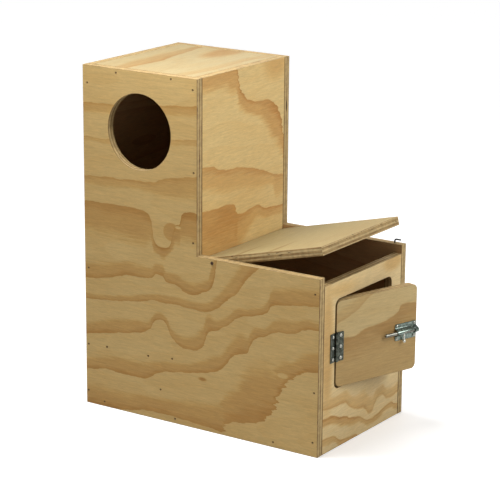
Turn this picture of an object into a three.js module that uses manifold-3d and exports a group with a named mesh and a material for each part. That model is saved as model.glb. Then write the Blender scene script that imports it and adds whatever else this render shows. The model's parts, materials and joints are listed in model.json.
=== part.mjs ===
// An L-shaped plywood nest box for parrots: a tall tower with a round entrance hole, a low
// nest chamber with a lid that tips up on two pivot screws, and an inspection door on a butt
// hinge, kept shut by a small barrel bolt.
//
// Millimetres, +Z up. The origin is the middle of the footprint, on the plane that the box
// stands on. The entrance hole faces -Y, and the door is in the end wall, which faces +X.

import * as THREE from 'three';
import { mergeVertices } from 'three/addons/utils/BufferGeometryUtils.js';
import Module from 'manifold-3d';

const wasm = await Module();
wasm.setup();

// ---------------------------------------------------------------- driving dimensions

const HEIGHT = 610; // top of the tower
const LENGTH = 485; // tower side to door end
const DEPTH = 280; // entrance side to back
const TOWER = 240; // width of the tower, along X
const STEP = 308; // height of the low part
const PLY = 15; // plywood thickness
const GAP = 0.3; // between pieces that touch

const HOLE = { radius: 66, height: 506 };

const LID = {
  open: 13.7, // degrees, as it is left standing
  pivotSetback: 31.5, // from the tower wall
  pivotDrop: 7, // below the top of the step
  tailGap: 2, // between the lid's tail and the tower wall
  endGap: 1, // the closed lid stops this far short of the box's end
  sideGap: 1.5, // to the front and back panels
};

const DOOR = {
  open: 18.3, // degrees, as it is left standing
  margin: 50, // from the box's front to the opening
  width: 183, // the opening in the end wall
  bottom: 106,
  top: 261,
  corner: 12,
  kerf: 2.5, // saw cut between the door and the wall
};

const HINGE = { height: 50, middle: 180, reach: 16.5, sheet: 1.2, barrel: 2.7, pin: 1.5, knuckles: 5 };
const HINGE_SCREWS = { inset: 9.5, pitch: 19.5 };

const BOLT = {
  height: 180, // of the rod's axis
  start: 130.5, // distances from the hinge axis, along the door
  end: 177,
  half: 14.5, // half the plate's height
  rod: 3, // radius
  rodStart: 104,
  rodEnd: 177.5,
  travel: 20,
  knob: 147,
  knobReach: 15.5, // from the rod's axis to the middle of the knob
  screwInset: 4, // from the plate's ends
};

const KEEPER = { setback: 3, width: 12 };
const TAB_MIDDLE = 11; // from the rod's axis to the screws above and below it
const LANDING = { bottom: 104.5, riser: 155.5 };
const LADDER = { rungs: 12, rails: 4, pitch: 25.4, bottom: 132, wire: 1.25, overhang: 5 };
const HOOK = { wire: 1.5, setback: 18.5, rise: 6.5, arm: 13, depth: 16 };

// ---------------------------------------------------------------- places worked out from them

const LEFT = -LENGTH / 2;
const RIGHT = LENGTH / 2;
const FRONT = -DEPTH / 2;
const BACK = DEPTH / 2;
const TOWER_RIGHT = LEFT + TOWER;
const INNER_FRONT = FRONT + PLY;
const INNER_BACK = BACK - PLY;
const LID_BOTTOM = STEP - PLY;
const LID_PIVOT = { x: TOWER_RIGHT + LID.pivotSetback, z: STEP - LID.pivotDrop };
const HOLE_X = LEFT + TOWER / 2;

const HINGE_STANDOFF = 3; // the hinge pin's axis stands this far out of the end wall
const HINGE_AXIS = { x: RIGHT + HINGE_STANDOFF, y: FRONT + DOOR.margin + DOOR.kerf / 2 };
const SHEET_BACK = GAP - HINGE_STANDOFF; // a fitting's back face, measured from the hinge axis
const SHEET_FRONT = SHEET_BACK + HINGE.sheet;
const ROD_LIFT = 4.3; // from a fitting's sheet to the rod's axis
const ROD_OUT = SHEET_FRONT + ROD_LIFT; // the rod's axis, measured from the hinge axis

// ---------------------------------------------------------------- materials

function finish(color, roughness, metalness) {
  return new THREE.MeshStandardMaterial({ color, roughness, metalness });
}

const LOOKS = {
  pineFace: () => finish(0xc4a063, 0.62, 0),
  paleFace: () => finish(0xcbb37a, 0.62, 0),
  innerFace: () => finish(0xa98554, 0.7, 0),
  zinc: () => finish(0x8b9690, 0.32, 1),
  wire: () => finish(0x9a9a94, 0.4, 1),
  darkWire: () => finish(0x4d4a42, 0.45, 1),
};

// ---------------------------------------------------------------- solid helpers

function toSolid(geometry) {
  const bare = geometry.clone();
  bare.deleteAttribute('normal');
  bare.deleteAttribute('uv');
  const merged = mergeVertices(bare, 1e-4);
  const index = merged.index.array;
  const triangles = [];
  for (let i = 0; i < index.length; i += 3) {
    const [a, b, c] = [index[i], index[i + 1], index[i + 2]];
    if (a !== b && b !== c && c !== a) triangles.push(a, b, c);
  }
  const vertProperties = Float32Array.from(merged.attributes.position.array);
  const mesh = new wasm.Mesh({ numProp: 3, vertProperties, triVerts: Uint32Array.from(triangles) });
  return new wasm.Manifold(mesh);
}

function toGeometry(solid) {
  const mesh = solid.getMesh();
  const geometry = new THREE.BufferGeometry();
  geometry.setAttribute('position', new THREE.BufferAttribute(mesh.vertProperties, 3));
  geometry.setIndex(new THREE.BufferAttribute(mesh.triVerts, 1));
  const flat = geometry.toNonIndexed();
  flat.computeVertexNormals();
  return flat;
}

function join(pieces) {
  const solids = pieces.map(toSolid);
  return toGeometry(solids.reduce((all, next) => all.add(next)));
}

function cut(geometry, tools) {
  const solids = tools.map(toSolid);
  return toGeometry(solids.reduce((left, tool) => left.subtract(tool), toSolid(geometry)));
}

function block(x0, x1, y0, y1, z0, z1) {
  const geometry = new THREE.BoxGeometry(x1 - x0, y1 - y0, z1 - z0);
  return geometry.translate((x0 + x1) / 2, (y0 + y1) / 2, (z0 + z1) / 2);
}

// Turns a shape made along +Y so that it runs along the named axis.
const AIM = {
  '+x': (geometry) => geometry.rotateZ(-Math.PI / 2),
  '+y': (geometry) => geometry,
  '-y': (geometry) => geometry.rotateX(Math.PI),
  '+z': (geometry) => geometry.rotateX(Math.PI / 2),
  '-z': (geometry) => geometry.rotateX(-Math.PI / 2),
};

// A round bar that starts at `from` and runs `length` along the named axis.
function bar(axis, radius, length, from, sides = 16) {
  const geometry = new THREE.CylinderGeometry(radius, radius, length, sides).translate(0, length / 2, 0);
  return AIM[axis](geometry).translate(...from);
}

function extrude(outline, depth, curveSegments = 12) {
  return new THREE.ExtrudeGeometry(outline, { depth, bevelEnabled: false, curveSegments });
}

// A flat panel drawn in the XZ plane, `thickness` thick, with its front face at y = front.
function uprightPanel(outline, thickness, front) {
  const geometry = extrude(outline, thickness, 32);
  return geometry.rotateX(Math.PI / 2).translate(0, front + thickness, 0);
}

// A flat panel drawn in the YZ plane, `thickness` thick, with its inner face at x = inner.
function endwaysPanel(outline, thickness, inner) {
  const geometry = extrude(outline, thickness, 8);
  return geometry.rotateX(Math.PI / 2).rotateZ(Math.PI / 2).translate(inner, 0, 0);
}

function roundedRectangle(path, x0, x1, y0, y1, radius) {
  path.moveTo(x0 + radius, y0);
  path.lineTo(x1 - radius, y0);
  path.absarc(x1 - radius, y0 + radius, radius, -Math.PI / 2, 0, false);
  path.lineTo(x1, y1 - radius);
  path.absarc(x1 - radius, y1 - radius, radius, 0, Math.PI / 2, false);
  path.lineTo(x0 + radius, y1);
  path.absarc(x0 + radius, y1 - radius, radius, Math.PI / 2, Math.PI, false);
  path.lineTo(x0, y0 + radius);
  path.absarc(x0 + radius, y0 + radius, radius, Math.PI, 1.5 * Math.PI, false);
  return path;
}

// ---------------------------------------------------------------- fasteners

const HINGE_SCREW = { head: 2.9, rise: 1.6, shank: 1.3, length: 12 };
const BOLT_SCREW = { head: 2.4, rise: 1.4, shank: 1.2, length: 10.5 };
const PIVOT_SCREW = { head: 3, rise: 1, shank: 2, length: 29 };

// A dome-headed wood screw along +Y: its head's seat is at y = 0 and its point is below.
function woodScrew({ head, rise, shank, length }) {
  const point = 3 * shank;
  const dome = new THREE.SplineCurve([
    new THREE.Vector2(head, rise * 0.3),
    new THREE.Vector2(head * 0.72, rise * 0.85),
    new THREE.Vector2(0, rise),
  ]);
  const profile = [
    new THREE.Vector2(0, -length),
    new THREE.Vector2(shank, point - length),
    new THREE.Vector2(shank, 0),
    new THREE.Vector2(head, 0),
    ...dome.getPoints(3),
  ];
  return new THREE.LatheGeometry(profile, 16);
}

// The hole that a screw's shank goes into, from its head's seat inwards.
function pilotHole(axis, screw, seat) {
  return bar(axis, screw.shank + GAP, screw.length + GAP, seat, 12);
}

// A screw that goes through a fitting's sheet has its head's seat just proud of the sheet.
const SCREW_SEAT = SHEET_FRONT + GAP;

// The holes for screws whose heads face +X and are seated at x = seat.
function pilotHoles(screw, places, seat) {
  const depth = screw.length + GAP;
  return places.map(({ y, z }) => bar('+x', screw.shank + GAP, depth, [seat - depth, y, z], 12));
}

// ---------------------------------------------------------------- scene graph

const nestBox = new THREE.Group();
const lidGroup = new THREE.Group();
const doorGroup = new THREE.Group();
nestBox.add(lidGroup, doorGroup);

lidGroup.position.set(LID_PIVOT.x, 0, LID_PIVOT.z);
lidGroup.rotation.y = -THREE.MathUtils.degToRad(LID.open);
doorGroup.position.set(HINGE_AXIS.x, HINGE_AXIS.y, 0);
doorGroup.rotation.z = -THREE.MathUtils.degToRad(DOOR.open);

function add(name, geometry, material, parent = nestBox) {
  const mesh = new THREE.Mesh(geometry, material);
  mesh.name = name;
  parent.add(mesh);
  return mesh;
}

// ---------------------------------------------------------------- ladder and its staples

const LADDER_HALF = ((LADDER.rails - 1) * LADDER.pitch) / 2;
const LADDER_TOP = LADDER.bottom + LADDER.rungs * LADDER.pitch;
const RAIL_Y = INNER_FRONT + GAP + LADDER.wire;
const STAPLE = { wire: 1.2, leg: 2.6, bite: 8 };

function ladder() {
  const pieces = [];
  for (let i = 0; i < LADDER.rails; i += 1) {
    const x = HOLE_X - LADDER_HALF + i * LADDER.pitch;
    pieces.push(bar('+z', LADDER.wire, LADDER_TOP - LADDER.bottom, [x, RAIL_Y, LADDER.bottom], 8));
  }
  const width = 2 * (LADDER_HALF + LADDER.overhang);
  for (let i = 0; i < LADDER.rungs; i += 1) {
    const z = LADDER.bottom + (i + 0.5) * LADDER.pitch;
    const start = [HOLE_X - width / 2, RAIL_Y + 1.8 * LADDER.wire, z];
    pieces.push(bar('+x', LADDER.wire, width, start, 8));
  }
  return join(pieces);
}

// One staple straddles each outer rail near its top and its bottom.
const STAPLE_PLACES = [-1, 1].flatMap((side) => [LADDER.bottom, LADDER_TOP].map((z, high) => ({
  x: HOLE_X + side * LADDER_HALF,
  z: z + (high ? -1 : 1) * LADDER.pitch,
})));

function staple({ x, z }) {
  const { wire, leg, bite } = STAPLE;
  const crown = RAIL_Y + LADDER.wire + GAP;
  const outline = new THREE.Shape();
  outline.moveTo(-leg, INNER_FRONT - bite);
  outline.lineTo(wire - leg, INNER_FRONT - bite);
  outline.lineTo(wire - leg, crown);
  outline.lineTo(leg - wire, crown);
  outline.lineTo(leg - wire, INNER_FRONT - bite);
  outline.lineTo(leg, INNER_FRONT - bite);
  outline.lineTo(leg, crown + wire);
  outline.lineTo(-leg, crown + wire);
  outline.closePath();
  return extrude(outline, wire).translate(x, 0, z - wire / 2);
}

function stapleHoles({ x, z }) {
  const { wire, leg, bite } = STAPLE;
  const half = wire / 2 + GAP;
  const sides = [-1, 1].map((side) => x + side * (leg - wire / 2));
  return sides.map((middle) => block(
    middle - half, middle + half,
    INNER_FRONT - bite - GAP, INNER_FRONT + 1,
    z - half, z + half,
  ));
}

// ---------------------------------------------------------------- the plywood box

function stepOutline() {
  const outline = new THREE.Shape();
  outline.moveTo(LEFT, 0);
  outline.lineTo(RIGHT, 0);
  outline.lineTo(RIGHT, STEP);
  outline.lineTo(TOWER_RIGHT, STEP);
  outline.lineTo(TOWER_RIGHT, HEIGHT);
  outline.lineTo(LEFT, HEIGHT);
  outline.closePath();
  return outline;
}

const FRONT_PIVOT_SEAT = [LID_PIVOT.x, FRONT, LID_PIVOT.z];
const BACK_PIVOT_SEAT = [LID_PIVOT.x, BACK, LID_PIVOT.z];
const HOOK_X = RIGHT - HOOK.setback;
const HOOK_Y = BACK - PLY / 2;

function frontPanel() {
  const outline = stepOutline();
  outline.holes.push(new THREE.Path().absarc(HOLE_X, HOLE.height, HOLE.radius, 0, 2 * Math.PI, true));
  const panel = uprightPanel(outline, PLY, FRONT);
  const pivotHole = pilotHole('+y', PIVOT_SCREW, FRONT_PIVOT_SEAT);
  return cut(panel, [pivotHole, ...STAPLE_PLACES.flatMap(stapleHoles)]);
}

function backPanel() {
  const panel = uprightPanel(stepOutline(), PLY, INNER_BACK);
  const hookHole = bar('-z', HOOK.wire + GAP, HOOK.depth + GAP, [HOOK_X, HOOK_Y, STEP], 12);
  return cut(panel, [pilotHole('-y', PIVOT_SCREW, BACK_PIVOT_SEAT), hookHole]);
}

// A board that fits between the front and back panels.
function board(x0, x1, z0, z1) {
  return block(x0, x1, INNER_FRONT + GAP, INNER_BACK - GAP, z0, z1);
}

// A level board across the inside of the tower, with its underside at z = bottom.
function towerBoard(bottom) {
  return board(LEFT + PLY + GAP, TOWER_RIGHT - PLY - GAP, bottom, bottom + PLY);
}

const TOWER_WALL_BOTTOM = LID_BOTTOM - 20;
const FIXED_SCREW_PLACES = [1, 0, -1].map((row) => ({
  y: HINGE_AXIS.y - HINGE_SCREWS.inset,
  z: HINGE.middle + row * HINGE_SCREWS.pitch,
}));
const KEEPER_START = FRONT + DOOR.margin + DOOR.width + KEEPER.setback;
const KEEPER_SCREW_PLACES = [1, -1].map((side) => ({
  y: KEEPER_START + KEEPER.width / 2,
  z: BOLT.height + side * TAB_MIDDLE,
}));

function endPanel() {
  const outline = new THREE.Shape();
  outline.moveTo(INNER_FRONT + GAP, 0);
  outline.lineTo(INNER_BACK - GAP, 0);
  outline.lineTo(INNER_BACK - GAP, LID_BOTTOM - GAP);
  outline.lineTo(INNER_FRONT + GAP, LID_BOTTOM - GAP);
  outline.closePath();
  const near = FRONT + DOOR.margin;
  const far = near + DOOR.width;
  outline.holes.push(roundedRectangle(new THREE.Path(), near, far, DOOR.bottom, DOOR.top, DOOR.corner));
  const panel = endwaysPanel(outline, PLY, RIGHT - PLY);
  const seat = HINGE_AXIS.x + SCREW_SEAT;
  return cut(panel, [
    ...pilotHoles(HINGE_SCREW, FIXED_SCREW_PLACES, seat),
    ...pilotHoles(BOLT_SCREW, KEEPER_SCREW_PLACES, seat),
  ]);
}

add('front_panel', frontPanel(), LOOKS.pineFace());
add('back_panel', backPanel(), LOOKS.pineFace());
add('left_wall', board(LEFT, LEFT + PLY, 0, HEIGHT), LOOKS.pineFace());
add('tower_wall', board(TOWER_RIGHT - PLY, TOWER_RIGHT, TOWER_WALL_BOTTOM, HEIGHT), LOOKS.pineFace());
add('top_panel', towerBoard(HEIGHT - PLY), LOOKS.paleFace());
add('floor_panel', board(LEFT + PLY + GAP, RIGHT - PLY - GAP, 0, PLY), LOOKS.innerFace());
add('end_panel', endPanel(), LOOKS.pineFace());

const RISER_X = LEFT + LANDING.riser;
add('landing_shelf', towerBoard(LANDING.bottom), LOOKS.innerFace());
add('landing_riser', board(RISER_X, RISER_X + PLY, PLY + GAP, LANDING.bottom - GAP), LOOKS.innerFace());

add('ladder', ladder(), LOOKS.wire());
STAPLE_PLACES.forEach((place, i) => add(`ladder_staple_${i + 1}`, staple(place), LOOKS.wire()));

// ---------------------------------------------------------------- lid, its pivots and its hook

const LID_HALF = INNER_BACK - LID.sideGap;

// The closed lid, measured from its pivot.
function lid() {
  const tail = TOWER_RIGHT + LID.tailGap - LID_PIVOT.x;
  const end = RIGHT - LID.endGap - LID_PIVOT.x;
  const top = STEP - LID_PIVOT.z;
  const board = block(tail, end, -LID_HALF, LID_HALF, top - PLY, top);
  const holes = [pilotHole('+y', PIVOT_SCREW, [0, FRONT, 0]), pilotHole('-y', PIVOT_SCREW, [0, BACK, 0])];
  return cut(board, holes);
}

// An L-shaped wire hook, screwed into the back panel's top edge; it turns about its shank.
function hook() {
  const bend = 2 * HOOK.wire;
  const top = STEP + HOOK.rise;
  const corner = new THREE.Vector3(0, 0, top);
  const route = new THREE.CurvePath();
  const bendStart = new THREE.Vector3(0, 0, top - bend);
  const bendEnd = new THREE.Vector3(bend, 0, top);
  route.add(new THREE.LineCurve3(new THREE.Vector3(0, 0, STEP - HOOK.depth), bendStart));
  route.add(new THREE.QuadraticBezierCurve3(bendStart, corner, bendEnd));
  route.add(new THREE.LineCurve3(bendEnd, new THREE.Vector3(HOOK.arm, 0, top)));
  const section = new THREE.Shape().absarc(0, 0, HOOK.wire, 0, 2 * Math.PI, false);
  return new THREE.ExtrudeGeometry(section, { extrudePath: route, steps: 36, curveSegments: 5 });
}

// A pivot screw whose head faces the named axis and is seated at y.
function pivotScrew(name, axis, y) {
  const geometry = AIM[axis](woodScrew(PIVOT_SCREW));
  add(name, geometry, LOOKS.darkWire()).position.set(LID_PIVOT.x, y, LID_PIVOT.z);
}

add('lid', lid(), LOOKS.paleFace(), lidGroup);
pivotScrew('lid_pivot_front', '-y', FRONT - GAP);
pivotScrew('lid_pivot_back', '+y', BACK + GAP);
add('lid_hook', hook(), LOOKS.darkWire()).position.set(HOOK_X, HOOK_Y, 0);

// ---------------------------------------------------------------- door and its butt hinge

// Pieces of the door are measured from the hinge axis, with the door shut: +X is outwards
// and +Y runs along the door to its free edge.
const DOOR_START = DOOR.kerf / 2;
const DOOR_END = DOOR.width - 1.5 * DOOR.kerf;
const DOOR_SCREW_PLACES = FIXED_SCREW_PLACES.map(({ z }) => ({ y: HINGE_SCREWS.inset, z }));
const BOLT_SCREW_ENDS = [BOLT.start + BOLT.screwInset, BOLT.end - BOLT.screwInset];
const BOLT_SCREW_PLACES = [1, -1].flatMap((side) => BOLT_SCREW_ENDS.map((y) => ({
  y,
  z: BOLT.height + side * TAB_MIDDLE,
})));

function door() {
  const outline = new THREE.Shape();
  const inset = DOOR.kerf;
  const [bottom, top] = [DOOR.bottom + inset, DOOR.top - inset];
  roundedRectangle(outline, DOOR_START, DOOR_END, bottom, top, DOOR.corner - inset);
  const panel = endwaysPanel(outline, PLY, -HINGE_STANDOFF - PLY);
  return cut(panel, [
    ...pilotHoles(HINGE_SCREW, DOOR_SCREW_PLACES, SCREW_SEAT),
    ...pilotHoles(BOLT_SCREW, BOLT_SCREW_PLACES, SCREW_SEAT),
  ]);
}

// One hinge leaf with its own knuckles. `side` is -1 for the fixed leaf and 1 for the door's.
function hingeLeaf(side) {
  const bottom = HINGE.middle - HINGE.height / 2;
  const knuckle = HINGE.height / HINGE.knuckles;
  const [y0, y1] = side < 0 ? [-HINGE.reach, 0] : [0, HINGE.reach];
  const plate = block(SHEET_BACK, SHEET_FRONT, y0, y1, bottom, bottom + HINGE.height);
  const own = [];
  const notches = [];
  for (let i = 0; i < HINGE.knuckles; i += 1) {
    const z0 = bottom + i * knuckle;
    const isOwn = (i % 2 === 0) === (side < 0);
    if (isOwn) {
      own.push(bar('+z', HINGE.barrel, knuckle - GAP, [0, 0, z0 + GAP / 2], 24));
    } else {
      const reach = HINGE.barrel + 2 * GAP;
      notches.push(block(-reach, reach, -reach, reach, z0 - GAP / 2, z0 + knuckle + GAP / 2));
    }
  }
  const bore = bar('+z', HINGE.pin + GAP, HINGE.height + 2, [0, 0, bottom - 1], 24);
  const holes = FIXED_SCREW_PLACES.map(({ z }) => (
    bar('+x', HINGE_SCREW.shank + GAP, 4, [SHEET_BACK - 1, side * HINGE_SCREWS.inset, z], 12)
  ));
  const plateWithHoles = cut(plate, [...notches, ...holes]);
  return cut(join([plateWithHoles, ...own]), [bore]);
}

function hingePin() {
  const half = HINGE.height / 2 + GAP;
  const head = { radius: HINGE.barrel - 0.2, rise: 1.1 };
  const tip = 0.6;
  const profile = [
    new THREE.Vector2(0, -half - tip),
    new THREE.Vector2(HINGE.pin - tip / 2, -half - tip),
    new THREE.Vector2(HINGE.pin, -half),
    new THREE.Vector2(HINGE.pin, half),
    new THREE.Vector2(head.radius, half),
    new THREE.Vector2(head.radius, half + head.rise * 0.5),
    new THREE.Vector2(head.radius * 0.6, half + head.rise),
    new THREE.Vector2(0, half + head.rise),
  ];
  return AIM['+z'](new THREE.LatheGeometry(profile, 24));
}

function fittingScrew(name, screw, { y, z }, parent, x = SCREW_SEAT) {
  const geometry = AIM['+x'](woodScrew(screw));
  add(name, geometry, LOOKS.zinc(), parent).position.set(x, y, z);
}

add('door', door(), LOOKS.pineFace(), doorGroup);
add('hinge_fixed_leaf', hingeLeaf(-1), LOOKS.zinc()).position.set(HINGE_AXIS.x, HINGE_AXIS.y, 0);
add('hinge_door_leaf', hingeLeaf(1), LOOKS.zinc(), doorGroup);
add('hinge_pin', hingePin(), LOOKS.zinc()).position.set(HINGE_AXIS.x, HINGE_AXIS.y, HINGE.middle);
FIXED_SCREW_PLACES.forEach((place, i) => (
  fittingScrew(`hinge_fixed_screw_${i + 1}`, HINGE_SCREW, place, nestBox, HINGE_AXIS.x + SCREW_SEAT)
));
DOOR_SCREW_PLACES.forEach((place, i) => (
  fittingScrew(`hinge_door_screw_${i + 1}`, HINGE_SCREW, place, doorGroup)
));

// ---------------------------------------------------------------- barrel bolt and keeper

// The arch's two radii about the rod, and the half widths of its feet outside and inside.
const ARCH = { inner: BOLT.rod + 0.4, outer: BOLT.rod + 1.6, foot: 7.5, innerFoot: 6.4 };

const KNOB = { stem: 1.75, ball: 3.75 }; // radii

// A pressed sheet with an arch for the rod along its middle. It runs `length` along +Y.
function archedSheet(length) {
  const outline = new THREE.Shape();
  outline.moveTo(-BOLT.half, SHEET_BACK);
  outline.lineTo(-ARCH.innerFoot, SHEET_BACK);
  outline.lineTo(-ARCH.inner, ROD_OUT);
  outline.absarc(0, ROD_OUT, ARCH.inner, Math.PI, 0, true);
  outline.lineTo(ARCH.innerFoot, SHEET_BACK);
  outline.lineTo(BOLT.half, SHEET_BACK);
  outline.lineTo(BOLT.half, SHEET_FRONT);
  outline.lineTo(ARCH.foot, SHEET_FRONT);
  outline.lineTo(ARCH.outer, ROD_OUT);
  outline.absarc(0, ROD_OUT, ARCH.outer, 0, Math.PI, false);
  outline.lineTo(-ARCH.foot, SHEET_FRONT);
  outline.lineTo(-BOLT.half, SHEET_FRONT);
  outline.closePath();
  const geometry = extrude(outline, length);
  // The outline's X becomes +Z, its Y becomes +X, and the sheet runs along +Y.
  return geometry.rotateY(-Math.PI / 2).rotateZ(-Math.PI / 2);
}

function sheetHoles(places) {
  return places.map(({ y, z }) => bar('+x', BOLT_SCREW.shank + GAP, 4, [SHEET_BACK - 1, y, z], 12));
}

// The knob passes through an open window in the arch's lower and outer side.
function boltPlate() {
  const sheet = archedSheet(BOLT.end - BOLT.start).translate(0, BOLT.start, BOLT.height);
  const room = KNOB.stem + 1.2;
  const window = block(
    ROD_OUT - KNOB.stem - GAP, ROD_OUT + 2 * ARCH.outer,
    BOLT.knob - room, BOLT.knob + BOLT.travel + room,
    BOLT.height - BOLT.half, BOLT.height + KNOB.stem + GAP,
  );
  return cut(sheet, [window, ...sheetHoles(BOLT_SCREW_PLACES)]);
}

function keeper() {
  const sheet = archedSheet(KEEPER.width).translate(HINGE_AXIS.x, KEEPER_START, BOLT.height);
  const holes = sheetHoles(KEEPER_SCREW_PLACES).map((hole) => hole.translate(HINGE_AXIS.x, 0, 0));
  return cut(sheet, holes);
}

function boltRod() {
  const length = BOLT.rodEnd - BOLT.rodStart;
  const chamfer = 0.8;
  const profile = [
    new THREE.Vector2(0, 0),
    new THREE.Vector2(BOLT.rod - chamfer, 0),
    new THREE.Vector2(BOLT.rod, chamfer),
    new THREE.Vector2(BOLT.rod, length - chamfer),
    new THREE.Vector2(BOLT.rod - chamfer, length),
    new THREE.Vector2(0, length),
  ];
  return new THREE.LatheGeometry(profile, 24).translate(ROD_OUT, BOLT.rodStart, BOLT.height);
}

// The knob's stem starts just clear of the rod and hangs down from it.
function boltKnob() {
  const { stem, ball } = KNOB;
  const neck = Math.asin(stem / ball);
  const profile = [new THREE.Vector2(0, BOLT.rod + GAP), new THREE.Vector2(stem, BOLT.rod + GAP)];
  const steps = 8;
  for (let i = 0; i <= steps; i += 1) {
    const angle = neck + ((Math.PI - neck) * i) / steps;
    const radius = i === steps ? 0 : ball * Math.sin(angle);
    profile.push(new THREE.Vector2(radius, BOLT.knobReach - ball * Math.cos(angle)));
  }
  return AIM['-z'](new THREE.LatheGeometry(profile, 20)).translate(ROD_OUT, BOLT.knob, BOLT.height);
}

add('bolt_plate', boltPlate(), LOOKS.zinc(), doorGroup);
add('bolt_rod', boltRod(), LOOKS.zinc(), doorGroup);
add('bolt_knob', boltKnob(), LOOKS.zinc(), doorGroup);
BOLT_SCREW_PLACES.forEach((place, i) => (
  fittingScrew(`bolt_screw_${i + 1}`, BOLT_SCREW, place, doorGroup)
));
add('keeper', keeper(), LOOKS.zinc());
KEEPER_SCREW_PLACES.forEach((place, i) => (
  fittingScrew(`keeper_screw_${i + 1}`, BOLT_SCREW, place, nestBox, HINGE_AXIS.x + SCREW_SEAT)
));

export default nestBox;
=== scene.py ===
"""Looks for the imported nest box: plywood panels with their figure and plies, zinc fittings, nails
and the studio around them. Metres, in the row frame; lengths in materials are in millimetres."""

import json
import math
from collections import namedtuple
from functools import cached_property
from itertools import product

import bmesh
import bpy
from mathutils import Matrix, Vector


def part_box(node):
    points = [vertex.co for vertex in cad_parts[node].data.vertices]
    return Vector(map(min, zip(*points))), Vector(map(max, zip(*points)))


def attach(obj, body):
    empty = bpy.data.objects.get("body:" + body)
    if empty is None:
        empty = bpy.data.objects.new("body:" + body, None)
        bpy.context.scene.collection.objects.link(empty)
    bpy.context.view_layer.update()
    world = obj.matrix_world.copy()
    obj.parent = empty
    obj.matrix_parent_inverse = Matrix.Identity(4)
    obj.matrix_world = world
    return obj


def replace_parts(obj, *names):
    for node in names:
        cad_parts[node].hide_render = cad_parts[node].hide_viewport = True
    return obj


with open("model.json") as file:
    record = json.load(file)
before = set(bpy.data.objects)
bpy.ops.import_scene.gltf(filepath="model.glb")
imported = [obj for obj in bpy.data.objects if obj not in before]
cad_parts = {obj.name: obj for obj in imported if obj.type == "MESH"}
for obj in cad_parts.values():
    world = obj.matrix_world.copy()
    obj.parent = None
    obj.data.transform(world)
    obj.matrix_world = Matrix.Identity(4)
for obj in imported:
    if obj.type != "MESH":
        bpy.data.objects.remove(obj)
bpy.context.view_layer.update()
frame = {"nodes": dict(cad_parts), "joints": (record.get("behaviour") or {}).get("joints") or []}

MM = 0.001
X, Y, Z = Vector((1, 0, 0)), Vector((0, 1, 0)), Vector((0, 0, 1))
JOINTS = {joint["name"]: joint for joint in frame["joints"]}


def cos(degrees):
    return math.cos(math.radians(degrees))


def sin(degrees):
    return math.sin(math.radians(degrees))


# ---------- material graphs

# Noise in a material. `size` is about how big its features are in millimetres, along the piece's
# own X, Y and Z. `seed` is added to the material's own seed.
Noise = namedtuple("Noise", "size detail roughness seed")


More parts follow.
